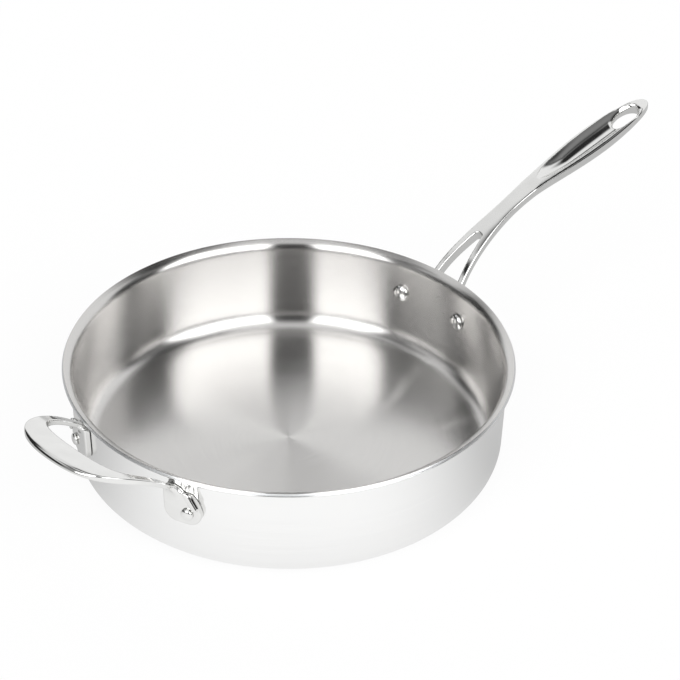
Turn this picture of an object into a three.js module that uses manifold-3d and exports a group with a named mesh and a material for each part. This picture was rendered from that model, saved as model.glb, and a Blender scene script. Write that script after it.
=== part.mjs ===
// Straight-walled saute pan of three bonded metal layers, with a forked long handle and a loop handle.
// Millimetres, +Z up. The origin is the centre of the base's underside and +X runs along the long handle.

import * as THREE from 'three';
import { mergeVertices } from 'three/addons/utils/BufferGeometryUtils.js';
import { LoftGeometry } from 'three/addons/geometries/LoftGeometry.js';
import Module from 'manifold-3d';

const degrees = Math.PI / 180;

// Pan body, measured on its outside
const panHeight = 75.5;
const wallRadius = 152.8;
const lipOverhang = 5.2;
const wallLean = 1.2 * degrees;
const cornerRadius = 16;
const lipBendRadius = 5;
const lipTurn = 61 * degrees;
const outerSkin = 0.5;
const coreLayer = 1.6;
const innerSkin = 0.5;

// Rivets, set in pairs on one level below the rim
const rivetDrop = 28;
const shankRadius = 3;
const insideHeadRadius = 6;
const insideHeadHeight = 3.4;
const outsideHeadRadius = 4.4;
const outsideHeadHeight = 2.6;
const longRivetSpacing = 57.5;
const helperRivetSpacing = 110;

// Clearances
const bondGap = 0.02;
const seatGap = 0.3;
const holeClearance = 0.3;

// Long handle: flange on the wall
const flangeThickness = 4;
const flangeEndRadius = 10;

// Long handle: edge line in side view, reaches from the wall and rises from the rim
const forkAngle = 44 * degrees;
const forkRootDrop = 28;
const forkPull = 20;
const neckReach = 103;
const neckRise = 32.8;
const neckAngle = 15.5 * degrees;
const neckPull = 94.5;
const gripPull = 12;
const handleReach = 248.4;
const tipRise = 56.6;
const tipAngle = 6 * degrees;
const tipPull = 25;

// Long handle: widths in plan and depths of its section
const forkWidth = 34;
const waistReach = 80.6;
const waistWidth = 14;
const gripReach = 180.8;
const gripWidth = 26.6;
const forkTaper = 1.58;
const tipBluntness = 0.4;
const topCrown = 1;
const forkDepth = 7.2;
const waistDepth = 8.2;
const gripDepth = 10;
const tipDepth = 8.6;

// Long handle: slot, hollow and hanging eye
const slotRootWidth = 25;
const slotEndRadius = 3.6;
const slotReach = 49.5;
const hollowStartReach = 117;
const hollowDepth = 5.4;
const hollowRim = 3;
const eyeLength = 30;
const eyeWidth = 14.6;
const eyeTipMetal = 12.4;

// Helper handle: loop in plan, its rise in side view and its section
const helperReach = 58.6;
const helperWidth = 99;
const helperBarWidth = 21;
const helperArmWidth = 5.5;
const helperThickness = 4.4;
const helperArmThickness = 3.4;
const helperRootDrop = 5.3;
const helperRootAngle = 40.2 * degrees;
const helperEndAngle = 9 * degrees;

// Helper handle: lugs on the wall, each with a rib down its outer edge
const lugThickness = 4.4;
const lugEndRadius = 9.3;
const lugHeel = 17.5;
const ribWidth = 3.6;
const ribHeight = 2.4;

// Facets
const turnFacets = 56;
const rivetFacets = 16;
const bendFacets = 2;
const handleStations = 36;
const handleSectionHalf = 12;
const helperStations = 36;
const helperSectionHalf = 7;

// Colours
const polishedSteel = { color: 0xd8d8d6, roughness: 0.12, metalness: 1 };
const brushedSteel = { color: 0xc9c8c5, roughness: 0.34, metalness: 1 };
const aluminium = { color: 0xd0d2d4, roughness: 0.4, metalness: 1 };

const wasm = await Module();
wasm.setup();

const { lerp, smoothstep } = THREE.MathUtils;
const coreDepth = outerSkin + bondGap;
const innerDepth = coreDepth + coreLayer + bondGap;
const sheet = innerDepth + innerSkin;

// A closed geometry as a solid, without the slivers that close on the axis
function solidOf( geometry ) {

  const bare = new THREE.BufferGeometry().copy( geometry );
  bare.deleteAttribute( 'normal' );
  bare.deleteAttribute( 'uv' );
  const merged = mergeVertices( bare, 1e-4 );
  const corners = merged.index.array;
  const triVerts = [];
  for ( let i = 0; i < corners.length; i += 3 ) {

    const [ a, b, c ] = corners.slice( i, i + 3 );
    if ( a !== b && b !== c && c !== a ) triVerts.push( a, b, c );

  }

  return new wasm.Manifold( new wasm.Mesh( {
    numProp: 3,
    vertProperties: merged.attributes.position.array,
    triVerts: new Uint32Array( triVerts ),
  } ) );

}

function geometryOf( solid ) {

  const mesh = solid.getMesh();
  const geometry = new THREE.BufferGeometry();
  geometry.setAttribute( 'position', new THREE.BufferAttribute( mesh.vertProperties, 3 ) );
  geometry.setIndex( new THREE.BufferAttribute( mesh.triVerts, 1 ) );
  geometry.computeVertexNormals();
  return geometry;

}

function named( name, geometry, finish ) {

  const mesh = new THREE.Mesh( geometry, new THREE.MeshStandardMaterial( finish ) );
  mesh.name = name;
  return mesh;

}

// Lip: the sheet turns out of the wall on a bend and ends in a short straight run at the rim
const rimRadius = wallRadius + lipOverhang;
const lipLean = wallLean + lipTurn;
const lipCentreRadius = wallRadius + lipBendRadius * Math.cos( wallLean );
const lipRun = ( rimRadius - lipCentreRadius + lipBendRadius * Math.cos( lipLean ) ) / Math.sin( lipLean );
const lipCentreHeight = panHeight
  - ( lipBendRadius + sheet ) * Math.sin( lipLean ) - lipRun * Math.cos( lipLean );
const lipStartHeight = lipCentreHeight + lipBendRadius * Math.sin( wallLean );
const cornerCentreRadius = wallRadius
  - ( cornerRadius + ( lipStartHeight - cornerRadius ) * Math.sin( wallLean ) ) / Math.cos( wallLean );

function wallRadiusAt( height ) {

  return wallRadius - ( lipStartHeight - height ) * Math.tan( wallLean );

}

// The sheet's profile at a depth below its outside, from the axis to the rim
function sheetProfile( depth ) {

  const path = new THREE.Path();
  path.moveTo( 0, depth );
  path.lineTo( cornerCentreRadius, depth );
  path.absarc( cornerCentreRadius, cornerRadius, cornerRadius - depth, - Math.PI / 2, - wallLean, false );
  path.absarc(
    lipCentreRadius, lipCentreHeight, lipBendRadius + depth, Math.PI - wallLean, Math.PI - lipLean, true );
  const end = path.currentPoint;
  path.lineTo( end.x + lipRun * Math.sin( lipLean ), end.y + lipRun * Math.cos( lipLean ) );
  return path.getPoints( bendFacets );

}

function turned( profile, facets = turnFacets ) {

  return new THREE.LatheGeometry( profile, facets ).rotateX( Math.PI / 2 );

}

function layer( outside, inside ) {

  return solidOf( turned( [ ...sheetProfile( outside ), ...sheetProfile( inside ).reverse() ] ) );

}

// Everything that the handles have to stay clear of: the filled pan, grown by the seat gap
function panEnvelope() {

  const profile = sheetProfile( - seatGap );
  const rim = profile.at( - 1 );
  return solidOf( turned( [ ...profile, new THREE.Vector2( 0, rim.y ) ] ) );

}

// Rivets stand square to the wall: in a rivet's own frame +Y points outwards and 0 is the wall's outside
const rivetHeight = panHeight - rivetDrop;
const rivetRadius = wallRadiusAt( rivetHeight );
const longRivetAngle = Math.asin( longRivetSpacing / 2 / rivetRadius );
const helperRivetAngle = Math.asin( helperRivetSpacing / 2 / rivetRadius );

function placeOnWall( object, angle ) {

  object.position.set( rivetRadius * Math.cos( angle ), rivetRadius * Math.sin( angle ), rivetHeight );
  object.rotation.set( 0, 0, angle - Math.PI / 2 );
  object.rotateX( - wallLean );
  object.updateMatrix();
  return object;

}

function rivetHole( angle ) {

  const drill = 8 * sheet;
  const hole = new THREE.CylinderGeometry(
    shankRadius + holeClearance, shankRadius + holeClearance, drill, rivetFacets );
  return solidOf( hole.applyMatrix4( placeOnWall( new THREE.Object3D(), angle ).matrix ) );

}

// A domed head, listed from its seat to its crown
function domedHead( radius, height, seat, outwards ) {

  const edge = height * 0.25;
  const dome = new THREE.EllipseCurve( 0, edge, radius, height - edge, 0, Math.PI / 2 );
  const points = [ new THREE.Vector2( radius, 0 ), ...dome.getPoints( 4 ) ];
  points.at( - 1 ).x = 0;
  return points.map( ( p ) => new THREE.Vector2( p.x, outwards * ( seat + p.y ) ) );

}

function rivet( plateThickness ) {

  const sag = insideHeadRadius ** 2 / ( 2 * rivetRadius );
  const insideSeat = sheet + sag + seatGap;
  const outsideSeat = seatGap + plateThickness + seatGap;
  const inside = domedHead( insideHeadRadius, insideHeadHeight, insideSeat, - 1 ).reverse();
  const outside = domedHead( outsideHeadRadius, outsideHeadHeight, outsideSeat, 1 );
  const shank = [
    new THREE.Vector2( shankRadius, - insideSeat ), new THREE.Vector2( shankRadius, outsideSeat ),
  ];
  return new THREE.LatheGeometry( [ ...inside, ...shank, ...outside ], rivetFacets );

}

// A band that lies on the wall all round, between two levels, for plates that follow the wall
function wallBand( thickness, low, high ) {

  const inside = seatGap / Math.cos( wallLean );
  const outside = ( seatGap + thickness ) / Math.cos( wallLean );
  const corner = ( offset, height ) => new THREE.Vector2( wallRadiusAt( height ) + offset, height );
  return solidOf( turned( [
    corner( inside, low ), corner( outside, low ),
    corner( outside, high ), corner( inside, high ), corner( inside, low ),
  ] ) );

}

// An outline drawn on the wall at an angle and pushed through it: x runs along the wall and y upwards
// from the rivets' level
function throughWall( outline, angle ) {

  const push = new THREE.ExtrudeGeometry(
    outline, { depth: rimRadius, bevelEnabled: false, curveSegments: 6 } );
  const place = new THREE.Matrix4().makeBasis(
    new THREE.Vector3( - Math.sin( angle ), Math.cos( angle ), 0 ),
    new THREE.Vector3( 0, 0, 1 ),
    new THREE.Vector3( Math.cos( angle ), Math.sin( angle ), 0 ) );
  place.setPosition( 0, 0, rivetHeight );
  return solidOf( push.applyMatrix4( place ) );

}

// Long handle: the line of its side edges in side view, begun inside the wall so that the pan trims it
function handleLine() {

  const root = new THREE.Vector2( wallRadius, panHeight - forkRootDrop );
  const neck = new THREE.Vector2( wallRadius + neckReach, panHeight + neckRise );
  const tip = new THREE.Vector2( wallRadius + handleReach, panHeight + tipRise );
  const along = ( from, angle, length ) =>
    [ from.x + length * Math.cos( angle ), from.y + length * Math.sin( angle ) ];
  const line = new THREE.Path();
  line.moveTo( ...along( root, forkAngle, - 1.5 * forkDepth ) );
  line.lineTo( root.x, root.y );
  line.bezierCurveTo(
    ...along( root, forkAngle, forkPull ), ...along( neck, neckAngle, - neckPull ), neck.x, neck.y );
  line.bezierCurveTo(
    ...along( neck, neckAngle, gripPull ), ...along( tip, tipAngle, - tipPull ), tip.x, tip.y );
  return line;

}

// Half width in plan at a reach: a fork that draws in to the waist, a swelling grip and a rounded tip
function handleHalfWidth( reach ) {

  if ( reach < waistReach ) {

    const left = 1 - reach / waistReach;
    return waistWidth / 2 + ( forkWidth - waistWidth ) / 2 * left ** forkTaper;

  }

  if ( reach < gripReach ) {

    const swell = ( 1 - Math.cos( Math.PI * ( reach - waistReach ) / ( gripReach - waistReach ) ) ) / 2;
    return lerp( waistWidth, gripWidth, swell ) / 2;

  }

  const end = ( reach - gripReach ) / ( handleReach - gripReach );
  return gripWidth / 2 * ( 1 - Math.min( end, 0.999 ) ** 2 ) ** tipBluntness;

}

function handleDepth( reach ) {

  const neck = lerp( forkDepth, waistDepth, smoothstep( reach, 0, waistReach ) );
  const grip = lerp( neck, gripDepth, smoothstep( reach, waistReach, gripReach ) );
  return lerp( grip, tipDepth, smoothstep( reach, gripReach, handleReach ) );

}

// The hollow runs out at the far end of the eye
const hollowEndReach = handleReach - eyeTipMetal;
const eyeReach = hollowEndReach - eyeLength / 2;

// How deep the spoon-shaped hollow lies under the crown at a reach
function hollowAt( reach ) {

  const mouth = smoothstep( reach, hollowStartReach, gripReach );
  const end = 1 - smoothstep( reach, eyeReach, hollowEndReach );
  return hollowDepth * Math.sqrt( mouth ) * end;

}

// Section across the handle: x across, y up from the edge line
function handleSection( reach ) {

  const half = handleHalfWidth( reach );
  const crown = topCrown * Math.min( 1, 2 * half / waistWidth );
  const depth = handleDepth( reach );
  const hollow = hollowAt( reach );
  const hollowHalf = Math.max( half - hollowRim, 1e-3 );
  const points = [];
  for ( let i = 0; i < handleSectionHalf; i ++ ) {

    const across = Math.cos( Math.PI * i / handleSectionHalf );
    const bowl = Math.max( 0, 1 - ( across * half / hollowHalf ) ** 2 ) ** 1.5;
    points.push( new THREE.Vector2( half * across, crown * ( 1 - across ** 4 ) ** 0.5 - hollow * bowl ) );

  }

  for ( let i = 0; i < handleSectionHalf; i ++ ) {

    const turn = Math.PI * i / handleSectionHalf;
    const across = - Math.sign( Math.cos( turn ) ) * Math.abs( Math.cos( turn ) ) ** 0.36;
    points.push( new THREE.Vector2( half * across, - depth * Math.sin( turn ) ** 0.8 ) );

  }

  return points;

}

function handleBar() {

  const line = handleLine();
  const sections = [];
  for ( let i = 0; i <= handleStations; i ++ ) {

    const share = 1 - ( 1 - i / handleStations ) ** 1.5;
    const centre = line.getPointAt( share );
    const along = line.getTangentAt( share );
    const section = handleSection( Math.max( 0, centre.x - wallRadius ) );
    sections.push( section.map( ( p ) =>
      new THREE.Vector3( centre.x - along.y * p.y, p.x, centre.y + along.x * p.y ) ) );

  }

  return solidOf( new LoftGeometry( sections, { capStart: true, capEnd: true } ) );

}

// Tapered slot between the tines, cut square to the handle where it ends
function forkSlot() {

  const endHalf = slotEndRadius;
  const endCentre = slotReach - slotEndRadius;
  const outline = new THREE.Shape();
  const rootHalf = slotRootWidth / 2;
  const taper = ( rootHalf - endHalf ) / endCentre;
  outline.moveTo( - endCentre, - rootHalf - taper * endCentre );
  outline.lineTo( endCentre, - endHalf );
  outline.absarc( endCentre, 0, endHalf, - Math.PI / 2, Math.PI / 2, false );
  outline.lineTo( - endCentre, rootHalf + taper * endCentre );
  outline.closePath();
  const line = handleLine();
  const cut = slotReach * 2;
  const slot = new THREE.ExtrudeGeometry( outline, { depth: cut, bevelEnabled: false, curveSegments: 5 } );
  const points = line.getSpacedPoints( 200 );
  const at = points.findIndex( ( p ) => p.x > wallRadius + slotReach );
  const crotch = points[ at ];
  const slope = Math.atan2( crotch.y - points[ at - 1 ].y, crotch.x - points[ at - 1 ].x );
  slot.translate( - slotReach, 0, - cut / 2 );
  slot.scale( 1 / Math.cos( slope ), 1, 1 );
  slot.rotateY( - slope );
  slot.translate( crotch.x, 0, crotch.y );
  return solidOf( slot );

}

function hangingEye() {

  const outline = new THREE.Shape();
  outline.absellipse( wallRadius + eyeReach, 0, eyeLength / 2, eyeWidth / 2, 0, 2 * Math.PI );
  const eye = new THREE.ExtrudeGeometry(
    outline, { depth: gripWidth * 2, bevelEnabled: false, curveSegments: 12 } );
  return solidOf( eye.translate( 0, 0, panHeight + tipRise - gripWidth ) );

}

function longHandle( envelope ) {

  const outline = new THREE.Shape();
  const end = longRivetSpacing / 2;
  outline.absarc( end, 0, flangeEndRadius, - Math.PI / 2, Math.PI / 2, false );
  outline.absarc( - end, 0, flangeEndRadius, Math.PI / 2, 3 * Math.PI / 2, false );
  const low = rivetHeight - 2 * flangeEndRadius;
  const flange = wallBand( flangeThickness, low, rivetHeight + 2 * flangeEndRadius )
    .intersect( throughWall( outline, 0 ) );
  return handleBar()
    .subtract( forkSlot() )
    .subtract( hangingEye() )
    .add( flange )
    .subtract( envelope )
    .subtract( rivetHole( longRivetAngle ) )
    .subtract( rivetHole( - longRivetAngle ) );

}

// Helper handle: height of the loop's top at a reach from the wall
function helperTop( reach ) {

  const start = Math.tan( helperRootAngle );
  const end = Math.tan( helperEndAngle );
  return panHeight - helperRootDrop + start * reach + ( end - start ) * reach * reach / ( 2 * helperReach );

}

// One half of the loop in plan, from the wall to the middle of the bar: x is the reach, y the half width
function helperEdge( root, waist, corner, reach ) {

  const start = - helperReach / 12;
  return new THREE.CubicBezierCurve(
    new THREE.Vector2( start, root ),
    new THREE.Vector2( reach * 0.65, waist ),
    new THREE.Vector2( reach, corner ),
    new THREE.Vector2( reach, 0 ) );

}

function helperLoop() {

  const half = helperWidth / 2;
  const outer = helperEdge( half, half, half * 0.9, helperReach );
  const inner = helperEdge( half - helperArmWidth, half * 0.8, half, helperReach - helperBarWidth );
  const insideWall = - 0.08;
  const onTop = ( p, side ) => new THREE.Vector3( - wallRadius - p.x, side * p.y, helperTop( p.x ) );
  const middle = ( t, side ) =>
    onTop( outer.getPoint( t ), side ).lerp( onTop( inner.getPoint( t ), side ), 0.5 );
  const sections = [];
  for ( let i = 0; i <= helperStations; i ++ ) {

    const travel = 2 * i / helperStations - 1;
    const side = travel < 0 ? 1 : - 1;
    const t = lerp( insideWall, 1, 1 - Math.abs( travel ) );
    const outside = onTop( outer.getPoint( t ), side );
    const inside = onTop( inner.getPoint( t ), side );
    const before = middle( t - 0.01, side );
    const after = middle( t + 0.01, side );
    const along = after.sub( before ).multiplyScalar( side );
    const across = outside.clone().sub( inside ).multiplyScalar( 0.5 );
    const up = new THREE.Vector3().crossVectors( across, along ).normalize();
    const thin = lerp( helperArmThickness, helperThickness, smoothstep( t, 0, 0.6 ) ) / 2;
    const centre = outside.add( inside ).multiplyScalar( 0.5 ).addScaledVector( up, - thin );
    sections.push( helperSection().map( ( p ) =>
      centre.clone().addScaledVector( across, p.x ).addScaledVector( up, p.y * thin ) ) );

  }

  return solidOf( new LoftGeometry( sections, { capStart: true, capEnd: true } ) );

}

// Flat bar with rounded edges, one unit each way from its middle
function helperSection() {

  const points = [];
  for ( let i = 0; i < 2 * helperSectionHalf; i ++ ) {

    const turn = - Math.PI * i / helperSectionHalf;
    const across = Math.cos( turn );
    const height = Math.sign( Math.sin( turn ) ) * ( 1 - Math.abs( across ) ** 4 ) ** 0.5;
    points.push( new THREE.Vector2( across, Math.abs( height ) < 1e-6 ? 0 : height ) );

  }

  return points;

}

// A lug is a tongue that hangs from its arm to the rivet: x runs away from the loop's middle
const lugTop = lipStartHeight - rivetHeight;
const lugTangent = Math.PI / 2 - Math.acos( lugEndRadius / lugTop );

function lugOutline() {

  const outline = new THREE.Shape();
  outline.moveTo( 0, lugTop );
  outline.absarc( 0, 0, lugEndRadius, lugTangent, - Math.PI / 2, true );
  outline.bezierCurveTo(
    - lugHeel * 0.55, - lugEndRadius, - lugHeel, - lugEndRadius / 2, - lugHeel, lugEndRadius );
  outline.lineTo( - lugHeel, lugTop );
  outline.closePath();
  return outline.getPoints( 6 );

}

// The arm's outer edge runs on down the lug as a rib
function ribOutline() {

  const foot = new THREE.Vector2( Math.cos( lugTangent ), Math.sin( lugTangent ) );
  const outer = foot.clone().multiplyScalar( lugEndRadius );
  const inner = foot.clone().multiplyScalar( lugEndRadius - ribWidth );
  const across = ribWidth / Math.cos( lugTangent );
  return [
    new THREE.Vector2( 0, lugTop ), new THREE.Vector2( - across, lugTop ), inner, outer,
  ];

}

function onHelperSide( outline, side ) {

  if ( side > 0 ) return throughWall( new THREE.Shape( outline ), Math.PI + helperRivetAngle );
  const mirrored = outline.map( ( p ) => new THREE.Vector2( - p.x, p.y ) ).reverse();
  return throughWall( new THREE.Shape( mirrored ), Math.PI - helperRivetAngle );

}

function helperHandle( envelope ) {

  const low = rivetHeight - 2 * lugEndRadius;
  const lugBand = wallBand( lugThickness, low, lipStartHeight );
  const ribBand = wallBand( lugThickness + ribHeight, low, lipStartHeight );
  let handle = helperLoop();
  for ( const side of [ 1, - 1 ] ) {

    handle = handle
      .add( lugBand.intersect( onHelperSide( lugOutline(), side ) ) )
      .add( ribBand.intersect( onHelperSide( ribOutline(), side ) ) );

  }

  return handle
    .subtract( envelope )
    .subtract( rivetHole( Math.PI + helperRivetAngle ) )
    .subtract( rivetHole( Math.PI - helperRivetAngle ) );

}

const rivetAngles = {
  long_rivet_left: longRivetAngle,
  long_rivet_right: - longRivetAngle,
  helper_rivet_left: Math.PI - helperRivetAngle,
  helper_rivet_right: Math.PI + helperRivetAngle,
};

const holes = Object.values( rivetAngles ).map( rivetHole );
const drilled = ( solid ) => holes.reduce( ( body, hole ) => body.subtract( hole ), solid );

const pan = new THREE.Group();
const ply = ( outside, inside ) => geometryOf( drilled( layer( outside, inside ) ) );
pan.add( named( 'outer_ply', ply( 0, outerSkin ), polishedSteel ) );
pan.add( named( 'core_ply', ply( coreDepth, coreDepth + coreLayer ), aluminium ) );
pan.add( named( 'inner_ply', ply( innerDepth, sheet ), brushedSteel ) );

const envelope = panEnvelope();
pan.add( named( 'long_handle', geometryOf( longHandle( envelope ) ), polishedSteel ) );
pan.add( named( 'helper_handle', geometryOf( helperHandle( envelope ) ), polishedSteel ) );

for ( const [ name, angle ] of Object.entries( rivetAngles ) ) {

  const plate = name.startsWith( 'long' ) ? flangeThickness : lugThickness;
  pan.add( placeOnWall( named( name, rivet( plate ), polishedSteel ), angle ) );

}

export default pan;
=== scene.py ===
import math
import bpy
import numpy as np
from mathutils import Matrix, Vector


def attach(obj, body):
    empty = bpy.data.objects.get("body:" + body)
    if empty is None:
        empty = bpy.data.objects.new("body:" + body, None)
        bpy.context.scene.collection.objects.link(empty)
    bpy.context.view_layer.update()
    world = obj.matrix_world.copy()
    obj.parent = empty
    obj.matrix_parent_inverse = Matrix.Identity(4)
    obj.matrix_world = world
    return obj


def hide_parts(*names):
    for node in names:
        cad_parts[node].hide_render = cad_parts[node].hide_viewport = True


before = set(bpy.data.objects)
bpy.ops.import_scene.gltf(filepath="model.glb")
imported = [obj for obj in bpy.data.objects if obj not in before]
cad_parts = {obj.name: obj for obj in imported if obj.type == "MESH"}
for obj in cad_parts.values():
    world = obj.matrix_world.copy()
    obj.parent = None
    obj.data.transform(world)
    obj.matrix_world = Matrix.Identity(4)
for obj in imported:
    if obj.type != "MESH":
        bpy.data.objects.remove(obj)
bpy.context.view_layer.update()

mm = 0.001  # pieces are worked out in millimetres, the scene is in metres
print("frame loaded")

# the camera looks down from the helper handle's side, as in the photo
cameraPlace = {"aim": (0, 0, 74.5), "distance": 1325, "azimuth": -44.25, "elevation": 34.35,
               "sensor": 36, "lens": 100.43, "shiftX": 0.0754, "shiftY": 0.0212}
cameraTurn = math.radians(cameraPlace["azimuth"])
frontWay = (math.sin(cameraTurn), -math.cos(cameraTurn), 0)  # level, toward the camera
rightWay = (math.cos(cameraTurn), math.sin(cameraTurn), 0)


def addCamera(place):
    e = math.radians(place["elevation"])
    back = Vector(frontWay) * math.cos(e) + Vector((0, 0, math.sin(e)))
    data = bpy.data.cameras.new("photoCamera")
    data.sensor_width = place["sensor"]
    data.lens = place["lens"]
    data.shift_x, data.shift_y = place["shiftX"], place["shiftY"]
    camera = bpy.data.objects.new("photoCamera", data)
    camera.location = (Vector(place["aim"]) + back * place["distance"]) * mm
    camera.rotation_euler = (-back).to_track_quat("-Z", "Y").to_euler()
    bpy.context.scene.collection.objects.link(camera)
    bpy.context.scene.camera = camera


# shader helpers
def newTree(name):
    material = bpy.data.materials.new(name)
    material.use_nodes = True
    material.node_tree.nodes.clear()
    return material, material.node_tree


def node(tree, kind, **settings):
    made = tree.nodes.new(kind)
    for key, value in settings.items():
        setattr(made, key, value)
    return made


def feed(tree, socket, value):
    # a number is set on the socket, an output is linked to it
    if isinstance(value, (int, float)):
        socket.default_value = value
    else:
        tree.links.new(value, socket)


def calc(tree, operation, *values):
    made = node(tree, "ShaderNodeMath", operation=operation)
    for socket, value in zip(made.inputs, values):
        feed(tree, socket, value)
    return made.outputs[0]


def ramp(tree, value, fromLow, fromHigh, low, high, kind="SMOOTHSTEP"):
    made = node(tree, "ShaderNodeMapRange", interpolation_type=kind)
    for label, given in (("Value", value), ("From Min", fromLow), ("From Max", fromHigh),
                         ("To Min", low), ("To Max", high)):
        feed(tree, made.inputs[label], given)
    return made.outputs["Result"]


def along(tree, vector, way):
    made = node(tree, "ShaderNodeVectorMath", operation="DOT_PRODUCT")
    tree.links.new(vector, made.inputs[0])
    made.inputs[1].default_value = way
    return made.outputs["Value"]


def noise(tree, vector, scale, detail):
    made = node(tree, "ShaderNodeTexNoise")
    made.inputs["Scale"].default_value = scale
    made.inputs["Detail"].default_value = detail
    tree.links.new(vector, made.inputs["Vector"])
    return made.outputs[0]


def groupOf(name, inputs, outputs):
    tree = bpy.data.node_groups.new(name, "ShaderNodeTree")
    for label, value in inputs.items():
        socket = tree.interface.new_socket(label, in_out="INPUT", socket_type="NodeSocketFloat")
        socket.default_value = value
    for label in outputs:
        tree.interface.new_socket(label, in_out="OUTPUT", socket_type="NodeSocketFloat")
    return tree, node(tree, "NodeGroupInput"), node(tree, "NodeGroupOutput")


# fine rings left by turning and brushing: noise over radius and height that hardly changes round the pan
brushing = {"fineScale": 2600, "fineDetail": 3, "coarseScale": 420, "coarseDetail": 2, "coarseShare": 0.5,
            "roundShare": 0.0012, "roughFrom": 0.3, "roughTo": 0.7, "streakFrom": 0.5, "streakTo": 1.0}


def ringBrushing(b):
    tree, given, out = groupOf("ringBrushing", {"Scale": 1.0, "Low Roughness": 0.3, "High Roughness": 0.4},
                               ("Height", "Roughness", "Streak"))
    place = node(tree, "ShaderNodeTexCoord")
    split = node(tree, "ShaderNodeSeparateXYZ")
    tree.links.new(place.outputs["Object"], split.inputs[0])
    x, y, z = split.outputs
    squares = calc(tree, "ADD", calc(tree, "MULTIPLY", x, x), calc(tree, "MULTIPLY", y, y))
    turn = calc(tree, "MULTIPLY", calc(tree, "ARCTAN2", y, x), b["roundShare"])
    rings = node(tree, "ShaderNodeCombineXYZ")
    for socket, value in zip(rings.inputs, (calc(tree, "SQRT", squares), z, turn)):
        tree.links.new(value, socket)
    scaled = node(tree, "ShaderNodeVectorMath", operation="SCALE")
    tree.links.new(rings.outputs[0], scaled.inputs[0])
    tree.links.new(given.outputs["Scale"], scaled.inputs["Scale"])
    fine = noise(tree, scaled.outputs[0], b["fineScale"], b["fineDetail"])
    coarse = noise(tree, scaled.outputs[0], b["coarseScale"], b["coarseDetail"])
    height = calc(tree, "MULTIPLY_ADD", coarse, b["coarseShare"], fine)
    rough = ramp(tree, coarse, b["roughFrom"], b["roughTo"],
                 given.outputs["Low Roughness"], given.outputs["High Roughness"], "LINEAR")
    tree.links.new(height, out.inputs["Height"])
    tree.links.new(rough, out.inputs["Roughness"])
    tree.links.new(ramp(tree, height, b["streakFrom"], b["streakTo"], 0, 1, "LINEAR"), out.inputs["Streak"])
    return tree


# the haze that polishing leaves on a casting: soft patches over a fine grain
polishing = {"hazeScale": 90, "hazeDetail": 4, "grainScale": 1800, "grainDetail": 2,
             "hazeFrom": 0.3, "hazeTo": 0.7}


def polishHaze(p):
    tree, given, out = groupOf("polishHaze", {"Low Roughness": 0.05, "High Roughness": 0.12},
                               ("Height", "Roughness", "Streak"))
    place = node(tree, "ShaderNodeTexCoord").outputs["Object"]
    haze = noise(tree, place, p["hazeScale"], p["hazeDetail"])
    grain = noise(tree, place, p["grainScale"], p["grainDetail"])
    rough = ramp(tree, haze, p["hazeFrom"], p["hazeTo"],
                 given.outputs["Low Roughness"], given.outputs["High Roughness"], "LINEAR")
    tree.links.new(grain, out.inputs["Height"])
    tree.links.new(rough, out.inputs["Roughness"])
    tree.links.new(ramp(tree, haze, p["hazeFrom"], p["hazeTo"], 0, 1, "LINEAR"), out.inputs["Streak"])
    return tree


ringGroup = ringBrushing(brushing)
hazeGroup = polishHaze(polishing)
finishes = {
    "brushedInside": {"colour": (0.64, 0.632, 0.622), "streak": 0.025, "bump": 0.1, "bumpDepth": 0.0002,
                      "anisotropy": 0.99, "grainTurn": 0.25, "group": ringGroup,
                      "values": {"Scale": 1.0, "Low Roughness": 0.2, "High Roughness": 0.225}},
    "polishedOutside": {"colour": (0.88, 0.88, 0.875), "streak": 0.012, "bump": 0.006, "bumpDepth": 0.0001,
                        "group": ringGroup,
                        "values": {"Scale": 0.6, "Low Roughness": 0.14, "High Roughness": 0.16}},
    "polishedHandle": {"colour": (0.77, 0.77, 0.76), "streak": 0.03, "bump": 0.02, "bumpDepth": 0.0001,
                       "group": hazeGroup, "values": {"Low Roughness": 0.07, "High Roughness": 0.11}},
    "polishedRivet": {"colour": (0.78, 0.78, 0.77), "streak": 0.03, "bump": 0.02, "bumpDepth": 0.0001,
                      "group": hazeGroup, "values": {"Low Roughness": 0.08, "High Roughness": 0.14}},
    "rolledCore": {"colour": (0.81, 0.82, 0.83), "streak": 0.03, "bump": 0.05, "bumpDepth": 0.0002,
                   "group": ringGroup,
                   "values": {"Scale": 1.0, "Low Roughness": 0.3, "High Roughness": 0.4}}}


def metalFinish(name, f):
    material, tree = newTree(name)
    out = node(tree, "ShaderNodeOutputMaterial")
    shader = node(tree, "ShaderNodeBsdfPrincipled")
    shader.inputs["Metallic"].default_value = 1
    finish = node(tree, "ShaderNodeGroup", node_tree=f["group"])
    for label, value in f["values"].items():
        finish.inputs[label].default_value = value
    shade = node(tree, "ShaderNodeMix", data_type="RGBA")
    for label, share in (("A", 1 - f["streak"]), ("B", 1 + f["streak"])):
        shade.inputs[label].default_value = (*(c * share for c in f["colour"]), 1)
    tree.links.new(finish.outputs["Streak"], shade.inputs["Factor"])
    tree.links.new(shade.outputs["Result"], shader.inputs["Base Color"])
    bump = node(tree, "ShaderNodeBump")
    bump.inputs["Strength"].default_value = f["bump"]
    bump.inputs["Distance"].default_value = f["bumpDepth"]
    tree.links.new(finish.outputs["Height"], bump.inputs["Height"])
    tree.links.new(bump.outputs["Normal"], shader.inputs["Normal"])
    tree.links.new(finish.outputs["Roughness"], shader.inputs["Roughness"])
    if "anisotropy" in f:  # highlights spread across the brushing
        shader.inputs["Anisotropic"].default_value = f["anisotropy"]
        shader.inputs["Anisotropic Rotation"].default_value = f["grainTurn"]
        tangent = node(tree, "ShaderNodeTangent", direction_type="RADIAL", axis="Z")
        tree.links.new(tangent.outputs[0], shader.inputs["Tangent"])
    tree.links.new(shader.outputs[0], out.inputs["Surface"])
    return material


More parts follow.
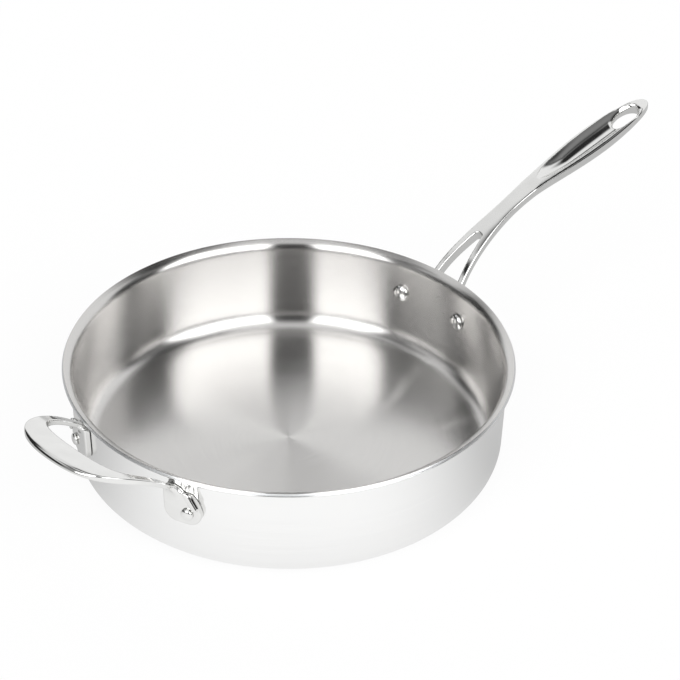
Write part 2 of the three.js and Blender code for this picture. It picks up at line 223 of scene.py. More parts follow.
metals = {name: metalFinish(name, finish) for name, finish in finishes.items()}
print("materials made")


# mesh helpers
def meshPiece(name, points, faces, material, nodeName, slotName, normals=None):
    mesh = bpy.data.meshes.new(name)
    places = [tuple(p) for p in np.asarray(points) * mm]
    mesh.from_pydata(places, [], [tuple(int(i) for i in f) for f in faces])
    mesh.polygons.foreach_set("use_smooth", [True] * len(mesh.polygons))
    mesh.materials.append(metals[material])
    mesh.update()
    if normals is not None:
        mesh.normals_split_custom_set_from_vertices([tuple(n) for n in normals])
    piece = bpy.data.objects.new(name, mesh)
    bpy.context.scene.collection.objects.link(piece)
    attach(piece, "root")
    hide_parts(nodeName)
    return piece


def turnedMesh(profile, steps):
    # points on the axis are shared, so no sliver faces close the middle
    points, rows = [], []
    for r, z in profile:
        if r < 1e-6:
            rows.append([len(points)] * steps)
            points.append((0, 0, z))
        else:
            rows.append(list(range(len(points), len(points) + steps)))
            for k in range(steps):
                t = 2 * math.pi * k / steps
                points.append((r * math.cos(t), r * math.sin(t), z))
    faces = []
    for a, b in zip(rows[:-1], rows[1:]):
        for k in range(steps):
            n = (k + 1) % steps
            face = list(dict.fromkeys((a[k], a[n], b[n], b[k])))
            if len(face) > 2:
                faces.append(face)
    return points, faces


def arc(centre, radius, start, end, count):
    return [(centre[0] + radius * math.cos(t), centre[1] + radius * math.sin(t))
            for t in np.linspace(start, end, count)]


def between(a, b, t):
    return a + (b - a) * t


def smoothStep(t, low, high):
    t = np.clip((t - low) / (high - low), 0, 1)
    return t * t * (3 - 2 * t)


# pan body: three layers turned from one sheet line
pan = {"height": 75.5, "wallRadius": 152.8, "lipOverhang": 5.2, "wallLean": 1.2, "cornerRadius": 16,
       "lipBend": 5, "lipTurn": 61, "outerSkin": 0.5, "core": 1.6, "innerSkin": 0.5, "bond": 0.02,
       "edgeRound": 0.22, "coveredRound": 0.02, "steps": 288,
       "floorPoints": 24, "cornerPoints": 20, "wallPoints": 12, "lipPoints": 14, "edgePoints": 4}
lean = math.radians(pan["wallLean"])
lipLean = lean + math.radians(pan["lipTurn"])
coreDepth = pan["outerSkin"] + pan["bond"]
innerDepth = coreDepth + pan["core"] + pan["bond"]
sheet = innerDepth + pan["innerSkin"]
rimRadius = pan["wallRadius"] + pan["lipOverhang"]
lipX = pan["wallRadius"] + pan["lipBend"] * math.cos(lean)
lipRun = (rimRadius - lipX + pan["lipBend"] * math.cos(lipLean)) / math.sin(lipLean)
lipZ = pan["height"] - (pan["lipBend"] + sheet) * math.sin(lipLean) - lipRun * math.cos(lipLean)
lipStart = lipZ + pan["lipBend"] * math.sin(lean)
cornerRise = (lipStart - pan["cornerRadius"]) * math.sin(lean)
cornerX = pan["wallRadius"] - (pan["cornerRadius"] + cornerRise) / math.cos(lean)
lipHeading = np.array((math.sin(lipLean), math.cos(lipLean)))
lipSide = np.array((-math.cos(lipLean), math.sin(lipLean)))


def wallRadiusAt(z):
    return pan["wallRadius"] - (lipStart - z) * math.tan(lean)


def sheetLine(depth, lipCut):
    # the sheet in section, at a depth below its outside
    corner = arc((cornerX, pan["cornerRadius"]), pan["cornerRadius"] - depth,
                 -math.pi / 2, -lean, pan["cornerPoints"])
    lip = arc((lipX, lipZ), pan["lipBend"] + depth, math.pi - lean, math.pi - lipLean, pan["lipPoints"])
    floor = [(corner[0][0] * t, depth) for t in np.linspace(0, 1, pan["floorPoints"])[:-1]]
    wall = [tuple(between(np.array(corner[-1]), np.array(lip[0]), t))
            for t in np.linspace(0, 1, pan["wallPoints"])[1:-1]]
    run = [tuple(np.array(lip[-1]) + lipHeading * lipRun * t) for t in (0.5, 1 - lipCut / lipRun)]
    return floor + corner + wall + lip + run


def roundedEdge(last, radius, side):
    turns = [k / pan["edgePoints"] * math.pi / 2 for k in range(1, pan["edgePoints"] + 1)]
    return [tuple(np.array(last) + radius * (lipHeading * math.sin(t) + side * (1 - math.cos(t))))
            for t in turns]


def skinProfile(depthA, depthB, roundA, roundB):
    # the cut edge at the rim is softly rounded where it shows
    near, far = sheetLine(depthA, roundA), sheetLine(depthB, roundB)
    near += roundedEdge(near[-1], roundA, lipSide)
    far += roundedEdge(far[-1], roundB, -lipSide)
    return near + far[::-1]


# each layer: piece, node, slot, metal, depth of its two sides, rounding of their edges
shown, covered = pan["edgeRound"], pan["coveredRound"]
for name, nodeName, slotName, metal, depthA, depthB, roundA, roundB in (
        ("outerSkin", "outer_ply", "polished_outside", "polishedOutside",
         0, pan["outerSkin"], shown, covered),
        ("coreSheet", "core_ply", "core", "rolledCore",
         coreDepth, coreDepth + pan["core"], covered, covered),
        ("innerSkin", "inner_ply", "brushed_inside", "brushedInside",
         innerDepth, sheet, covered, shown)):
    points, faces = turnedMesh(skinProfile(depthA, depthB, roundA, roundB), pan["steps"])
    meshPiece(name, points, faces, metal, nodeName, slotName)
print("pan body made")


# rivets stand square to the wall
rivetSizes = {"drop": 28, "shank": 3, "insideRadius": 6.5, "insideHeight": 3.6, "outsideRadius": 4.4,
              "outsideHeight": 2.6, "edgeShare": 0.2, "edgeCut": 0.25, "domeStart": 0.15, "domePoints": 14,
              "seat": 0.3, "longSpacing": 57.5, "helperSpacing": 110, "steps": 64}
rivetZ = pan["height"] - rivetSizes["drop"]
rivetRadius = wallRadiusAt(rivetZ)
longAngle = math.asin(rivetSizes["longSpacing"] / 2 / rivetRadius)
helperAngle = math.asin(rivetSizes["helperSpacing"] / 2 / rivetRadius)


def headLine(radius, height, seat, way):
    # a turned dome on a short straight edge, from the seat to the crown
    s = rivetSizes
    edge = height * s["edgeShare"]
    line = [(radius - s["edgeCut"], 0), (radius, s["edgeCut"]), (radius, edge)]
    for t in np.linspace(s["domeStart"], math.pi / 2, s["domePoints"]):
        line.append((radius * math.cos(t), edge + (height - edge) * math.sin(t)))
    return [(r, way * (seat + h)) for r, h in line]


def addRivet(name, nodeName, angle, plate):
    s = rivetSizes
    insideSeat = sheet + s["insideRadius"] ** 2 / (2 * rivetRadius) + s["seat"]
    outsideSeat = 2 * s["seat"] + plate
    line = headLine(s["insideRadius"], s["insideHeight"], insideSeat, -1)[::-1]
    line += [(s["shank"], -insideSeat), (s["shank"], outsideSeat)]
    line += headLine(s["outsideRadius"], s["outsideHeight"], outsideSeat, 1)
    points, faces = turnedMesh(line, s["steps"])
    square = Matrix.Rotation(angle, 4, "Z") @ Matrix.Rotation(math.pi / 2 + lean, 4, "Y")
    middle = Vector((rivetRadius * math.cos(angle), rivetRadius * math.sin(angle), rivetZ))
    placed = [middle + square.to_3x3() @ Vector(p) for p in points]
    meshPiece(name, placed, faces, "polishedRivet", nodeName, "rivets")


# castings are distance fields: a net of quads is laid through the field's zero, then pulled onto it
castingNet = {"block": 6, "nearBlocks": 1.6, "batch": 400000, "pulls": 5, "pullStep": 0.02,
              "pullLimit": 0.35, "leastSlope": 0.05, "normalStep": 0.12}
farOff = 50  # stands for no metal nearby


def smoothMax(a, b, r):
    # rounds the edge where two sides meet with radius r
    u, v = np.maximum(r + a, 0), np.maximum(r + b, 0)
    return np.minimum(-r, np.maximum(a, b)) + np.hypot(u, v)


def smoothMin(a, b, r):
    return -smoothMax(-a, -b, r)


def fieldSlope(field, points, step):
    slope = [(field(points + way) - field(points - way)) / (2 * step) for way in np.eye(3) * step]
    return np.stack(slope, 1)


def fieldValues(field, low, high, cell):
    # a rough look at whole blocks first, then the true values near the skin alone
    n = castingNet
    block = n["block"]
    count = np.ceil((high - low) / (cell * block)).astype(int)
    middles = [low[i] + (np.arange(count[i]) + 0.5) * cell * block for i in range(3)]
    grid = np.stack(np.meshgrid(*middles, indexing="ij"), -1).reshape(-1, 3)
    values = field(grid).reshape(count)
    for axis in range(3):
        values = np.repeat(values, block, axis)
    values = np.pad(values, ((0, 1),) * 3, mode="edge")
    near = np.abs(values) < cell * block * n["nearBlocks"]
    spread = near.copy()
    for axis in range(3):
        spread |= np.roll(near, 1, axis)
    spots = np.argwhere(spread)
    for start in range(0, len(spots), n["batch"]):
        part = spots[start:start + n["batch"]]
        values[tuple(part.T)] = field(low + part * cell)
    return values


def fieldNet(values):
    # one point in each cell that the skin passes through, one quad for each grid line that it crosses
    inside = values < 0
    size = np.array(values.shape) - 1
    corners = [(i, j, k) for i in (0, 1) for j in (0, 1) for k in (0, 1)]
    full = np.zeros(size, np.int8)
    for i, j, k in corners:
        full += inside[i:size[0] + i, j:size[1] + j, k:size[2] + k]
    cells = np.argwhere((full > 0) & (full < len(corners)))
    number = np.full(size, -1, int)
    number[tuple(cells.T)] = np.arange(len(cells))
    total, hits = np.zeros((len(cells), 3)), np.zeros(len(cells))
    for corner in corners:
        for axis in range(3):
            if corner[axis]:
                continue
            step = np.eye(3, dtype=int)[axis]
            a = values[tuple((cells + corner).T)]
            b = values[tuple((cells + corner + step).T)]
            cross = (a < 0) != (b < 0)
            t = np.where(cross, a / np.where(cross, a - b, 1), 0)
            total += np.where(cross[:, None], corner + step * t[:, None], 0)
            hits += cross
    faces = []
    for axis in range(3):
        one, two = (axis + 1) % 3, (axis + 2) % 3
        low, high = [slice(None)] * 3, [slice(None)] * 3
        low[axis], high[axis] = slice(0, -1), slice(1, None)
        a, b = inside[tuple(low)], inside[tuple(high)]
        for flip, mask in ((False, a & ~b), (True, ~a & b)):
            edge = np.argwhere(mask)
            ring = []
            for di, dj in ((-1, -1), (0, -1), (0, 0), (-1, 0)):
                spot = edge.copy()
                spot[:, one] += di
                spot[:, two] += dj
                ring.append(number[tuple(spot.T)])
            ring = np.stack(ring, 1)
            faces.append(ring[:, ::-1] if flip else ring)
    return cells + total / hits[:, None], np.concatenate(faces)


def fieldSkin(field, low, high, cell):
    n = castingNet
    low, high = np.array(low, float), np.array(high, float)
    spots, faces = fieldNet(fieldValues(field, low, high, cell))
    points = low + spots * cell
    for _ in range(n["pulls"]):
        slope = fieldSlope(field, points, n["pullStep"])
        move = field(points)[:, None] * slope / np.maximum((slope ** 2).sum(1), n["leastSlope"])[:, None]
        length = np.linalg.norm(move, axis=1)[:, None]
        points = points - move * np.minimum(1, n["pullLimit"] * cell / np.maximum(length, 1e-9))
    slope = fieldSlope(field, points, n["normalStep"])
    return points, faces, slope / np.maximum(np.linalg.norm(slope, axis=1)[:, None], 1e-9)


def offWall(p):
    # how far a point stands clear of the pan's outside, its wall and the underside of its lip
    r = np.hypot(p[:, 0], p[:, 1])
    wall = (r - wallRadiusAt(p[:, 2])) * math.cos(lean)
    bend = np.array((lipX, lipZ)) + lipSide * pan["lipBend"]
    under = (bend[0] - r) * lipSide[0] + (bend[1] - p[:, 2]) * lipSide[1]
    beyond = (r - bend[0]) * lipHeading[0] + (p[:, 2] - bend[1]) * lipHeading[1] - lipRun
    lip = np.maximum(under, beyond)
    return -smoothMax(-wall, -lip, pan["lipBend"]), wall


# long handle: reaches are from the pan's wall, rises and drops from its rim
longHandle = {"forkAngle": 44, "forkRootDrop": 28, "forkPull": 20, "neckReach": 103, "neckRise": 32.8,
              "neckAngle": 15.5, "neckPull": 94.5, "gripPull": 12, "reach": 247.4, "tipRise": 56.6,
              "tipAngle": 6, "tipPull": 25, "runBefore": 30, "runAfter": 12, "linePoints": 900,
              "forkWidth": 34, "forkTaper": 1.58, "waistReach": 80.6, "waistWidth": 14,
              "gripReach": 180.8, "gripWidth": 26.6, "tipPower": 2.3, "tablePoints": 4000,
              "forkDepth": 8.2, "waistDepth": 8.6, "gripDepth": 10.4, "tipDepth": 8.6,
              "neckEdge": 1.0, "gripEdge": 2.0, "belly": 4.2, "bellyShare": 0.62, "underRise": 0.12,
              "crown": 0.6, "crownTip": 0.8, "crownFall": 0.3,
              "slotRoot": 25, "slotEnd": 3.6, "slotReach": 49, "slotEdge": 1.0,
              "hollowStart": 114.5, "hollowWiden": 22, "hollowFull": 150, "hollowDepth": 6.2,
              "hollowRim": 2.9, "hollowPower": 2.2, "hollowTip": 3.5, "hollowFade": 3, "hollowEnd": 4,
              "hollowLift": 2, "liftBefore": 2, "noHollow": 6, "rimEdge": 0.8, "rimSlope": 3,
              "eyeLength": 27, "eyeWidth": 13.6, "eyeTip": 12.4, "eyeEdge": 1.8, "eyeSpread": 0.8,
              "flange": 4, "flangeEnd": 10, "flangeEdge": 1.6, "flangeBlend": 3.0, "seat": 0.3,
              "cell": 0.55, "boxLow": (143, -42, 34), "boxHigh": (408, 42, 140)}


def bezier(a, b, c, d, count):
    t = np.linspace(0, 1, count)[:, None]
    a, b, c, d = (np.array(q, float) for q in (a, b, c, d))
    return (1 - t) ** 3 * a + 3 * (1 - t) ** 2 * t * b + 3 * (1 - t) * t * t * c + t ** 3 * d


def heading(angle):
    return np.array((math.cos(math.radians(angle)), math.sin(math.radians(angle))))


def handleLine(h):
    # the top of the handle in side view, run on a little at both ends
    root = np.array((pan["wallRadius"], pan["height"] - h["forkRootDrop"]))
    neck = np.array((pan["wallRadius"] + h["neckReach"], pan["height"] + h["neckRise"]))
    tip = np.array((pan["wallRadius"] + h["reach"], pan["height"] + h["tipRise"]))
    rootWay, neckWay, tipWay = (heading(h[key]) for key in ("forkAngle", "neckAngle", "tipAngle"))
    fork = bezier(root, root + h["forkPull"] * rootWay, neck - h["neckPull"] * neckWay, neck, h["linePoints"])
    grip = bezier(neck, neck + h["gripPull"] * neckWay, tip - h["tipPull"] * tipWay, tip, h["linePoints"])
    return np.vstack([root - h["runBefore"] * rootWay, fork, grip[1:], tip + h["runAfter"] * tipWay])


def longField(h):
    line = handleLine(h)
    slopes = np.gradient(line[:, 1], line[:, 0])
    # half the width along the handle: fork, waist, grip
    reachAxis = np.linspace(-40, h["reach"] + 20, h["tablePoints"])
    waistHalf, gripHalf = h["waistWidth"] / 2, h["gripWidth"] / 2
    toFork = np.clip(1 - reachAxis / h["waistReach"], 0, 1.2) ** h["forkTaper"]
    toGrip = np.clip((reachAxis - h["waistReach"]) / (h["gripReach"] - h["waistReach"]), 0, 1)
    half = np.where(reachAxis < h["waistReach"],
                    between(waistHalf, h["forkWidth"] / 2, toFork),
                    between(waistHalf, gripHalf, (1 - np.cos(math.pi * toGrip)) / 2))
    halfSlope = np.gradient(half, reachAxis)
    tipLength = h["reach"] - h["gripReach"]
    eyeHalf, eyeSide = h["eyeLength"] / 2, h["eyeWidth"] / 2
    eyeEnd = h["reach"] - h["eyeTip"]
    eyeMiddle = eyeEnd - eyeHalf
    hollowEnd = eyeEnd + h["hollowEnd"]
    slotMiddle = h["slotReach"] - h["slotEnd"]
    taper = (h["slotRoot"] / 2 - h["slotEnd"]) / slotMiddle

    def lineAt(foot):
        return np.interp(foot, line[:, 0], line[:, 1]), np.interp(foot, line[:, 0], slopes)

    def hollowTop(reach, across, width, crown):
        # the crowned top with the hollow let into it, and how steep it is across
        grow = np.clip((reach - h["hollowStart"]) / h["hollowWiden"], 0, 1)
        room = np.maximum((width - h["hollowRim"]) * np.sqrt(grow * (2 - grow)), 0.05)
        pastEye = np.clip((reach - eyeMiddle) / (eyeHalf + h["hollowTip"]), 0, 1)
        tipRoom = np.sqrt(np.clip(1 - pastEye ** 2, 0.09, 1))
        room = np.minimum(room, np.maximum((gripHalf - h["hollowRim"]) * tipRoom, 0.05))
        deep = h["hollowDepth"] * np.sqrt(smoothStep(reach, h["hollowStart"], h["hollowFull"]))
        deep = deep * (1 - smoothStep(reach, eyeMiddle, eyeEnd + h["hollowFade"])) + 0.001
        bowl = h["crown"] - deep + deep * (across / room) ** h["hollowPower"]
        bowl = bowl + h["hollowLift"] * smoothStep(reach, eyeEnd - h["liftBefore"], hollowEnd)
        hollowed = (reach > h["hollowStart"]) & (reach < hollowEnd)
        bowl = np.where(hollowed, np.minimum(bowl, h["noHollow"]), h["noHollow"])
        steep = h["hollowPower"] * deep / room * (across / room) ** (h["hollowPower"] - 1)
        steep = steep * smoothStep(crown - bowl, -h["rimEdge"], h["rimEdge"])
        return smoothMin(crown, bowl, h["rimEdge"]), np.minimum(steep, h["rimSlope"])

    def field(p):
        x, y, z = p.T
        across = np.abs(y)
        foot = x.copy()
        for _ in range(4):  # nearest place on the handle's line in side view
            level, slope = lineAt(foot)
            foot = foot + ((x - foot) + (z - level) * slope) / (1 + slope * slope)
        level, slope = lineAt(foot)
        up = ((z - level) - (x - foot) * slope) / np.sqrt(1 + slope * slope)
        reach = foot - pan["wallRadius"]
        width = np.interp(reach, reachAxis, half)
        share = across / np.maximum(width, 1)
        side = (across - width) / np.sqrt(1 + np.interp(reach, reachAxis, halfSlope) ** 2)
        # rounded tip in plan
        e = np.clip((reach - h["gripReach"]) / tipLength, 0, None)
        a = np.maximum(across / gripHalf, 1e-4)
        tipLevel = a ** h["tipPower"] + e * e - 1
        tipSlope = np.hypot(h["tipPower"] * a ** (h["tipPower"] - 1) / gripHalf, 2 * e / tipLength)
        side = np.where(reach > h["gripReach"], tipLevel / np.maximum(tipSlope, 0.03), side)
        # top and underside
        crown = h["crown"] * (1 - h["crownTip"] * smoothStep(e, 0.8, 1))
        crown = crown - h["crownFall"] * np.clip(share, 0, 1.2) ** 3
        top, steep = hollowTop(reach, across, width, crown)
        roof = (up - top) / np.sqrt(1 + steep ** 2)
        onGrip = smoothStep(reach, h["waistReach"], h["gripReach"])
        depth = between(h["forkDepth"], h["waistDepth"], smoothStep(reach, 0, h["waistReach"]))
        depth = between(depth, h["gripDepth"], onGrip)
        depth = between(depth, h["tipDepth"], smoothStep(reach, h["gripReach"], h["reach"]))
        under = -up - depth * (1 - h["underRise"] * np.clip(share, 0, 1) ** 2)
        keel = smoothMax(side, under, np.minimum(h["belly"], h["bellyShare"] * np.maximum(width, 2)))
        bar = np.maximum(smoothMax(side, roof, between(h["neckEdge"], h["gripEdge"], onGrip)), keel)
        # slot between the tines, then the hanging eye
        vee = (across - (h["slotRoot"] / 2 - taper * reach)) / math.sqrt(1 + taper * taper)
        slot = np.where(reach < slotMiddle, vee, np.hypot(reach - slotMiddle, across) - h["slotEnd"])
        bar = smoothMax(bar, -slot, h["slotEdge"])
        ex, ey = (reach - eyeMiddle) / eyeHalf, across / eyeSide
        eyeLevel = ex * ex + ey * ey - 1
        eyeSlope = 2 * np.hypot(ex / eyeHalf, ey / eyeSide)
        eyeEdge = h["eyeEdge"] * (1 + h["eyeSpread"] * smoothStep(-ex, 0.2, 1))
        bar = smoothMax(bar, -eyeLevel / np.maximum(eyeSlope, 0.02), eyeEdge)
        # flange on the wall, blended into the tines
        clear, wall = offWall(p)
        arcAway = np.maximum(rivetRadius * np.abs(np.arctan2(y, x)) - rivetRadius * longAngle, 0)
        plate = np.hypot(arcAway, z - rivetZ) - h["flangeEnd"]
        plate = smoothMax(plate, wall - h["seat"] - h["flange"], h["flangeEdge"])
        plate = np.where(x > 0, plate, farOff)
        return np.maximum(smoothMin(bar, plate, h["flangeBlend"]), h["seat"] - clear)

    return field


points, faces, normals = fieldSkin(longField(longHandle), longHandle["boxLow"], longHandle["boxHigh"],
                                   longHandle["cell"])
meshPiece("longHandle", points, faces, "polishedHandle", "long_handle", "polished_handles", normals)
print("long handle made", len(points))


# helper handle: a broad loop whose arms end in lugs on the wall
helper = {"reach": 58.6, "width": 99, "barWidth": 21, "armWidth": 5.5, "thickness": 4.6, "armThickness": 3.4,
          "thickReach": 0.7, "rootDrop": 5.3, "rootAngle": 40.2, "endAngle": 9, "curvePoints": 90,
          "edge": 1.0, "rolledEdge": 4.4, "rollReach": (14, 34), "rollAcross": (24, 42),
          "lug": 4.4, "lugEnd": 9.3, "lugHeel": 17.5, "lugEdge": 1.3,
          "lugDrop": 1.0, "lugRise": 1.6, "lugRiseFrom": -6, "lugRiseTo": 4, "lugTopEdge": 2.6,
          "ribWidth": 3.6, "ribHeight": 2.4, "ribFoot": 6.6, "ribEdge": 1.2, "ribBlend": 1.4,
          "armBlend": 4.0, "seat": 0.3, "seatEdge": 0.5,
          "planCell": 0.25, "planReach": (-20, 72), "planAcross": (0, 70),
          "cell": 0.5, "boxLow": (-217, -72, 33), "boxHigh": (-136, 72, 105)}


def helperEdges(h):
    # outer and inner edge of one half of the loop in plan: reach, across
    half, start = h["width"] / 2, -h["reach"] / 12
    far = h["reach"]
    hole = far - h["barWidth"]
    outer = bezier((start, half), (far * 0.65, half), (far, half * 0.9), (far, 0), h["curvePoints"])
    inner = bezier((start, half - h["armWidth"]), (hole * 0.65, half * 0.8), (hole, half), (hole, 0),
                   h["curvePoints"])
    return outer, inner


def besideCurve(x, y, curve):
    # signed distance in plan, positive on the side away from the loop's middle
    first = curve[0] - (curve[1] - curve[0]) * 12  # the first stretch runs on
    curve = np.vstack([first, curve, curve[-1] * (1, -1) - (0, 20)])
    best = np.full(x.shape, 1e9)
    sign = np.ones(x.shape)
    for a, b in zip(curve[:-1], curve[1:]):
        d = b - a
        px, py = x - a[0], y - a[1]
        t = np.clip((px * d[0] + py * d[1]) / (d @ d), 0, 1)
        qx, qy = px - t * d[0], py - t * d[1]
        distance = qx * qx + qy * qy
        closer = distance < best
        best = np.where(closer, distance, best)
        sign = np.where(closer, np.where(d[0] * py - d[1] * px > 0, 1, -1), sign)
    return np.sqrt(best) * sign


def helperField(h):
    outer, inner = helperEdges(h)
    planX, planY = np.arange(*h["planReach"], h["planCell"]), np.arange(*h["planAcross"], h["planCell"])
    gx, gy = np.meshgrid(planX, planY, indexing="ij")
    outside, inside = besideCurve(gx, gy, outer), -besideCurve(gx, gy, inner)
    startSlope, endSlope = (math.tan(math.radians(h[key])) for key in ("rootAngle", "endAngle"))
    lugTop = lipStart - rivetZ
    tangent = math.pi / 2 - math.acos(h["lugEnd"] / lugTop)

    def readPlan(table, reach, across):
        fx = np.clip((reach - planX[0]) / h["planCell"], 0, len(planX) - 1.001)
        fy = np.clip((across - planY[0]) / h["planCell"], 0, len(planY) - 1.001)
        i, j = fx.astype(int), fy.astype(int)
        u, v = fx - i, fy - j
        return (table[i, j] * (1 - u) + table[i + 1, j] * u) * (1 - v) \
            + (table[i, j + 1] * (1 - u) + table[i + 1, j + 1] * u) * v

    def field(p):
        x, y, z = p.T
        across, reach = np.abs(y), -x - pan["wallRadius"]
        planOut, planIn = readPlan(outside, reach, across), readPlan(inside, reach, across)
        slope = startSlope + (endSlope - startSlope) * reach / h["reach"]
        top = pan["height"] - h["rootDrop"] + startSlope * reach
        top = top + (endSlope - startSlope) * reach ** 2 / (2 * h["reach"])
        thick = between(h["armThickness"], h["thickness"],
                        smoothStep(reach, 0, h["reach"] * h["thickReach"]))
        above = (z - top) / np.sqrt(1 + slope * slope)
        # the bar's outer edge is rolled over, the arms have a tight edge
        rolled = smoothStep(reach, *h["rollReach"]) * (1 - smoothStep(across, *h["rollAcross"]))
        loop = smoothMax(planOut, above, between(h["edge"], h["rolledEdge"], rolled))
        loop = smoothMax(smoothMax(loop, -above - thick, h["edge"]), planIn, h["edge"])
        # lugs lie on the wall: lx away from the loop's middle, ly up from the rivet
        clear, wall = offWall(p)
        lx = rivetRadius * (math.pi - np.abs(np.arctan2(y, x))) - rivetRadius * helperAngle
        ly = z - rivetZ
        outerEdge = lx * math.cos(tangent) + ly * math.sin(tangent) - h["lugEnd"]
        onLine = ly * math.cos(tangent) > lx * math.sin(tangent)
        rightSide = np.where(onLine, outerEdge, np.hypot(lx, ly) - h["lugEnd"])
        leftSide = smoothMax(-ly - h["lugEnd"], -lx - h["lugHeel"], h["lugEnd"])
        outline = np.maximum(np.where(lx > 0, rightSide, leftSide), ly - lugTop)
        lug = smoothMax(outline, wall - h["seat"] - h["lug"], h["lugEdge"])
        footed = np.clip(ly, h["ribFoot"], lugTop)
        rib = np.hypot(outerEdge + h["ribWidth"] / 2, ly - footed) - h["ribWidth"] / 2
        rib = smoothMax(rib, wall - h["seat"] - h["lug"] - h["ribHeight"], h["ribEdge"])
        # the lugs end level with the arms, a little higher on the side away from the loop's middle
        level = above + h["lugDrop"] - h["lugRise"] * smoothStep(lx, h["lugRiseFrom"], h["lugRiseTo"])
        lug = smoothMax(smoothMin(lug, rib, h["ribBlend"]), level, h["lugTopEdge"])
        both = smoothMin(loop, np.where(x < 0, lug, farOff), h["armBlend"])
        return smoothMax(both, h["seat"] - clear, h["seatEdge"])

    return field


points, faces, normals = fieldSkin(helperField(helper), helper["boxLow"], helper["boxHigh"], helper["cell"])
meshPiece("helperHandle", points, faces, "polishedHandle", "helper_handle", "polished_handles", normals)
print("helper handle made", len(points))

addRivet("longRivetLeft", "long_rivet_left", longAngle, longHandle["flange"])
addRivet("longRivetRight", "long_rivet_right", -longAngle, longHandle["flange"])
addRivet("helperRivetLeft", "helper_rivet_left", math.pi - helperAngle, helper["lug"])
addRivet("helperRivetRight", "helper_rivet_right", math.pi + helperAngle, helper["lug"])
print("rivets made")


# studio: a white table in a dim room with soft panels of light, each laid over the ones before it
# a panel's numbers: turn from, to and softness, rise from, to and softness in degrees, strength
# turn is 0 toward the camera and 90 at its right, and panels behind the pan are given on both sides
# the table's glow seen in metal carries painted light by direction and painted shade close to the pan
studio = {"floorColour": (0.93, 0.93, 0.93), "floorSize": 6.0, "floorDrop": 0.0003, "floorGlow": 0.92,
          "sideGlow": 0.6, "frontGlow": 1.1, "frontFrom": 0.1, "paintedNearShade": 0.86, "nearFrom": 0.13,
          "nearTo": 0.22, "room": 0.025,
          "panels": {"backRight": (104, 240, 6, -10, 50, 7, 1.0),
                     "backLeftHigh": (-240, -150, 6, 38, 62, 5, 0.9),
                     "leftHigh": (-156, -106, 5, 44, 62, 5, 0.9),
                     "leftPatch": (-112, -76, 4, 30, 46, 4, 0.8),
                     "backLeft": (-240, -138, 8, -10, 42, 6, 1.0),
                     "leftDim": (-74, -58, 4, 0, 50, 6, 0.3),
                     "overhead": (-112, 80, 6, 58, 120, 5, 0.78),
                     "ceiling": (-200, 200, 5, 76, 120, 4, 0.9),
                     "rightDim": (76, 98, 5, 28, 48, 8, 0.26),
                     "frontRight": (11, 70, 4, 12, 58, 5, 3.5),
                     "frontLeft": (-55, -15, 4, 12, 58, 5, 3.5)}}
white = (1, 1, 1, 1)


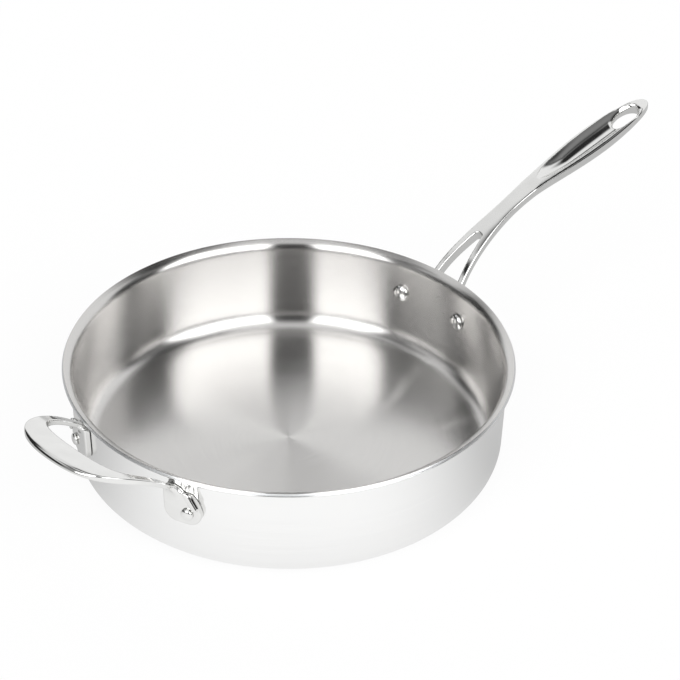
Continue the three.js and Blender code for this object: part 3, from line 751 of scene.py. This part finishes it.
def addFloor(s):
    mesh = bpy.data.meshes.new("floor")
    half, z = s["floorSize"], -s["floorDrop"]
    corners = [(-half, -half, z), (half, -half, z), (half, half, z), (-half, half, z)]
    mesh.from_pydata(corners, [], [(0, 1, 2, 3)])
    floor = bpy.data.objects.new("floor", mesh)
    material, tree = newTree("whiteTable")
    out = node(tree, "ShaderNodeOutputMaterial")
    matt = node(tree, "ShaderNodeBsdfDiffuse")
    matt.inputs["Color"].default_value = (*s["floorColour"], 1)
    glow = node(tree, "ShaderNodeEmission")
    glow.inputs["Color"].default_value = white
    path = node(tree, "ShaderNodeLightPath")
    mix = node(tree, "ShaderNodeMixShader")
    # in the metal the table is painted a little brighter on the camera's side, a painted light, and darker
    # close to the pan, a painted shade that stands for the pan's shadow on it
    spot = node(tree, "ShaderNodeNewGeometry").outputs["Position"]
    outward = node(tree, "ShaderNodeVectorMath", operation="NORMALIZE")
    away = node(tree, "ShaderNodeVectorMath", operation="LENGTH")
    for measure in (outward, away):
        tree.links.new(spot, measure.inputs[0])
    # painted light: the table's glow in reflections is raised toward the camera and lowered at the sides
    paintedFrontLight = ramp(tree, along(tree, outward.outputs[0], frontWay), s["frontFrom"], 1,
                  s["sideGlow"], s["frontGlow"])
    # painted shade: the glow seen in the metal is dimmed close to the pan, as a painted contact shadow
    nearby = ramp(tree, away.outputs["Value"], s["nearFrom"], s["nearTo"], s["paintedNearShade"], 1)
    shine = calc(tree, "SUBTRACT", calc(tree, "MULTIPLY", paintedFrontLight, nearby), 1)
    mirrored = calc(tree, "MULTIPLY", path.outputs["Is Glossy Ray"], shine)
    tree.links.new(calc(tree, "ADD", mirrored, 1), glow.inputs["Strength"])
    seen = calc(tree, "MAXIMUM", path.outputs["Is Camera Ray"], path.outputs["Is Glossy Ray"])
    tree.links.new(calc(tree, "MULTIPLY", seen, s["floorGlow"]), mix.inputs[0])
    tree.links.new(matt.outputs[0], mix.inputs[1])
    tree.links.new(glow.outputs[0], mix.inputs[2])
    tree.links.new(mix.outputs[0], out.inputs["Surface"])
    mesh.materials.append(material)
    bpy.context.scene.collection.objects.link(floor)


def addWorld(s):
    world = bpy.data.worlds.new("studioRoom")
    bpy.context.scene.world = world
    world.use_nodes = True
    tree = world.node_tree
    tree.nodes.clear()
    out = node(tree, "ShaderNodeOutputWorld")
    ray = node(tree, "ShaderNodeTexCoord").outputs["Generated"]
    degrees = 180 / math.pi
    turn = calc(tree, "ARCTAN2", along(tree, ray, rightWay), along(tree, ray, frontWay))
    turn = calc(tree, "MULTIPLY", turn, degrees)
    rise = calc(tree, "MULTIPLY", calc(tree, "ARCSINE", along(tree, ray, (0, 0, 1))), degrees)

    def window(value, low, high, soft):
        return calc(tree, "MULTIPLY", ramp(tree, value, low - soft, low + soft, 0, 1),
                    ramp(tree, value, high - soft, high + soft, 1, 0))

    level = s["room"]
    for turnLow, turnHigh, turnSoft, riseLow, riseHigh, riseSoft, strength in s["panels"].values():
        lit = node(tree, "ShaderNodeMix", data_type="FLOAT")
        mask = calc(tree, "MULTIPLY", window(turn, turnLow, turnHigh, turnSoft),
                    window(rise, riseLow, riseHigh, riseSoft))
        for socket, value in zip((lit.inputs["Factor"], lit.inputs["A"], lit.inputs["B"]),
                                 (mask, level, strength)):
            feed(tree, socket, value)
        level = lit.outputs["Result"]
    # the camera itself sees plain white
    light, backdrop = node(tree, "ShaderNodeBackground"), node(tree, "ShaderNodeBackground")
    for shader in (light, backdrop):
        shader.inputs["Color"].default_value = white
    tree.links.new(level, light.inputs["Strength"])
    path = node(tree, "ShaderNodeLightPath")
    mix = node(tree, "ShaderNodeMixShader")
    tree.links.new(path.outputs["Is Camera Ray"], mix.inputs[0])
    tree.links.new(light.outputs[0], mix.inputs[1])
    tree.links.new(backdrop.outputs[0], mix.inputs[2])
    tree.links.new(mix.outputs[0], out.inputs["Surface"])


addCamera(cameraPlace)
addFloor(studio)
addWorld(studio)
bpy.context.scene.view_settings.view_transform = "Standard"
print("studio made")

bpy.context.view_layer.update()
